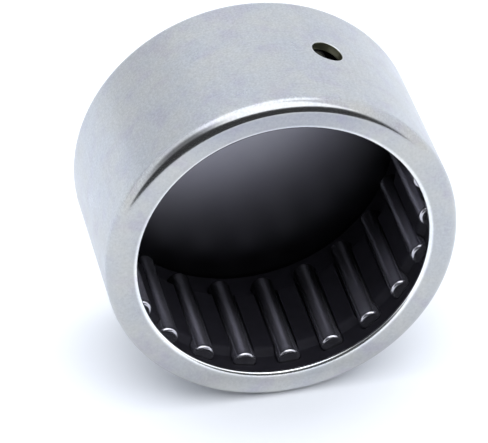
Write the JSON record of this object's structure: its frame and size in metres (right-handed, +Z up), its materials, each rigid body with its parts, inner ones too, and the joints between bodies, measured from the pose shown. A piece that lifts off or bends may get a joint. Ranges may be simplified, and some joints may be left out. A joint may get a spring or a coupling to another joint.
{
  "type": "needle roller bearing",
  "caption": "Drawn cup needle roller bearing, closed at one end, with caged rollers and an oil hole in the cup wall; carries the plain end of a shaft in a housing.",
  "frame": {"origin": "on the bearing axis, halfway along the width", "axes": "+Y along the bearing axis, out of the closed end; the mouth faces -Y; +Z up as the bearing lies on its side"},
  "size_m": [0.037, 0.02, 0.037],
  "materials": {
    "satin_bearing_steel": "satin drawn steel, cool grey",
    "blackened_sheet_steel": "dark oiled heat-treated sheet steel, matt",
    "ground_roller_steel": "ground dark steel with rounded ends"
  },
  "bodies": {
    "cup": {"drawn_cup": "satin_bearing_steel"},
    "cage": {"roller_cage": "blackened_sheet_steel"},
    "roller_01": {"needle_roller_01": "ground_roller_steel"},
    "roller_02": {"needle_roller_02": "ground_roller_steel"},
    "roller_03": {"needle_roller_03": "ground_roller_steel"},
    "roller_04": {"needle_roller_04": "ground_roller_steel"},
    "roller_05": {"needle_roller_05": "ground_roller_steel"},
    "roller_06": {"needle_roller_06": "ground_roller_steel"},
    "roller_07": {"needle_roller_07": "ground_roller_steel"},
    "roller_08": {"needle_roller_08": "ground_roller_steel"},
    "roller_09": {"needle_roller_09": "ground_roller_steel"},
    "roller_10": {"needle_roller_10": "ground_roller_steel"},
    "roller_11": {"needle_roller_11": "ground_roller_steel"},
    "roller_12": {"needle_roller_12": "ground_roller_steel"},
    "roller_13": {"needle_roller_13": "ground_roller_steel"},
    "roller_14": {"needle_roller_14": "ground_roller_steel"},
    "roller_15": {"needle_roller_15": "ground_roller_steel"},
    "roller_16": {"needle_roller_16": "ground_roller_steel"},
    "roller_17": {"needle_roller_17": "ground_roller_steel"},
    "roller_18": {"needle_roller_18": "ground_roller_steel"},
    "roller_19": {"needle_roller_19": "ground_roller_steel"},
    "roller_20": {"needle_roller_20": "ground_roller_steel"},
    "roller_21": {"needle_roller_21": "ground_roller_steel"}
  },
  "joints": [
    {"name": "cage_spin", "type": "hinge", "parent": "cup", "child": "cage", "pos_m": [0, 0, 0], "axis": [0, -1, 0], "continuous": true},
    {"name": "roller_01_spin", "type": "hinge", "parent": "cage", "child": "roller_01", "pos_m": [0.01621, 0, 0.00008], "axis": [0, -1, 0], "continuous": true},
    {"name": "roller_02_spin", "type": "hinge", "parent": "cage", "child": "roller_02", "pos_m": [0.01546, 0, 0.00486], "axis": [0, -1, 0], "continuous": true},
    {"name": "roller_03_spin", "type": "hinge", "parent": "cage", "child": "roller_03", "pos_m": [0.01335, 0, 0.0092], "axis": [0, -1, 0], "continuous": true},
    {"name": "roller_04_spin", "type": "hinge", "parent": "cage", "child": "roller_04", "pos_m": [0.01004, 0, 0.01273], "axis": [0, -1, 0], "continuous": true},
    {"name": "roller_05_spin", "type": "hinge", "parent": "cage", "child": "roller_05", "pos_m": [0.00584, 0, 0.01512], "axis": [0, -1, 0], "continuous": true},
    {"name": "roller_06_spin", "type": "hinge", "parent": "cage", "child": "roller_06", "pos_m": [0.00113, 0, 0.01617], "axis": [0, -1, 0], "continuous": true},
    {"name": "roller_07_spin", "type": "hinge", "parent": "cage", "child": "roller_07", "pos_m": [-0.00369, 0, 0.01578], "axis": [0, -1, 0], "continuous": true},
    {"name": "roller_08_spin", "type": "hinge", "parent": "cage", "child": "roller_08", "pos_m": [-0.00818, 0, 0.014], "axis": [0, -1, 0], "continuous": true},
    {"name": "roller_09_spin", "type": "hinge", "parent": "cage", "child": "roller_09", "pos_m": [-0.01194, 0, 0.01096], "axis": [0, -1, 0], "continuous": true},
    {"name": "roller_10_spin", "type": "hinge", "parent": "cage", "child": "roller_10", "pos_m": [-0.01464, 0, 0.00696], "axis": [0, -1, 0], "continuous": true},
    {"name": "roller_11_spin", "type": "hinge", "parent": "cage", "child": "roller_11", "pos_m": [-0.01604, 0, 0.00233], "axis": [0, -1, 0], "continuous": true},
    {"name": "roller_12_spin", "type": "hinge", "parent": "cage", "child": "roller_12", "pos_m": [-0.01602, 0, -0.0025], "axis": [0, -1, 0], "continuous": true},
    {"name": "roller_13_spin", "type": "hinge", "parent": "cage", "child": "roller_13", "pos_m": [-0.01457, 0, -0.00711], "axis": [0, -1, 0], "continuous": true},
    {"name": "roller_14_spin", "type": "hinge", "parent": "cage", "child": "roller_14", "pos_m": [-0.01182, 0, -0.01109], "axis": [0, -1, 0], "continuous": true},
    {"name": "roller_15_spin", "type": "hinge", "parent": "cage", "child": "roller_15", "pos_m": [-0.00803, 0, -0.01408], "axis": [0, -1, 0], "continuous": true},
    {"name": "roller_16_spin", "type": "hinge", "parent": "cage", "child": "roller_16", "pos_m": [-0.00352, 0, -0.01582], "axis": [0, -1, 0], "continuous": true},
    {"name": "roller_17_spin", "type": "hinge", "parent": "cage", "child": "roller_17", "pos_m": [0.0013, 0, -0.01616], "axis": [0, -1, 0], "continuous": true},
    {"name": "roller_18_spin", "type": "hinge", "parent": "cage", "child": "roller_18", "pos_m": [0.006, 0, -0.01506], "axis": [0, -1, 0], "continuous": true},
    {"name": "roller_19_spin", "type": "hinge", "parent": "cage", "child": "roller_19", "pos_m": [0.01017, 0, -0.01262], "axis": [0, -1, 0], "continuous": true},
    {"name": "roller_20_spin", "type": "hinge", "parent": "cage", "child": "roller_20", "pos_m": [0.01344, 0, -0.00906], "axis": [0, -1, 0], "continuous": true},
    {"name": "roller_21_spin", "type": "hinge", "parent": "cage", "child": "roller_21", "pos_m": [0.01551, 0, -0.0047], "axis": [0, -1, 0], "continuous": true}
  ],
  "couplings": [
    {"joint": "roller_01_spin", "follows": "cage_spin", "ratio": -14},
    {"joint": "roller_02_spin", "follows": "cage_spin", "ratio": -14},
    {"joint": "roller_03_spin", "follows": "cage_spin", "ratio": -14},
    {"joint": "roller_04_spin", "follows": "cage_spin", "ratio": -14},
    {"joint": "roller_05_spin", "follows": "cage_spin", "ratio": -14},
    {"joint": "roller_06_spin", "follows": "cage_spin", "ratio": -14},
    {"joint": "roller_07_spin", "follows": "cage_spin", "ratio": -14},
    {"joint": "roller_08_spin", "follows": "cage_spin", "ratio": -14},
    {"joint": "roller_09_spin", "follows": "cage_spin", "ratio": -14},
    {"joint": "roller_10_spin", "follows": "cage_spin", "ratio": -14},
    {"joint": "roller_11_spin", "follows": "cage_spin", "ratio": -14},
    {"joint": "roller_12_spin", "follows": "cage_spin", "ratio": -14},
    {"joint": "roller_13_spin", "follows": "cage_spin", "ratio": -14},
    {"joint": "roller_14_spin", "follows": "cage_spin", "ratio": -14},
    {"joint": "roller_15_spin", "follows": "cage_spin", "ratio": -14},
    {"joint": "roller_16_spin", "follows": "cage_spin", "ratio": -14},
    {"joint": "roller_17_spin", "follows": "cage_spin", "ratio": -14},
    {"joint": "roller_18_spin", "follows": "cage_spin", "ratio": -14},
    {"joint": "roller_19_spin", "follows": "cage_spin", "ratio": -14},
    {"joint": "roller_20_spin", "follows": "cage_spin", "ratio": -14},
    {"joint": "roller_21_spin", "follows": "cage_spin", "ratio": -14}
  ]
}
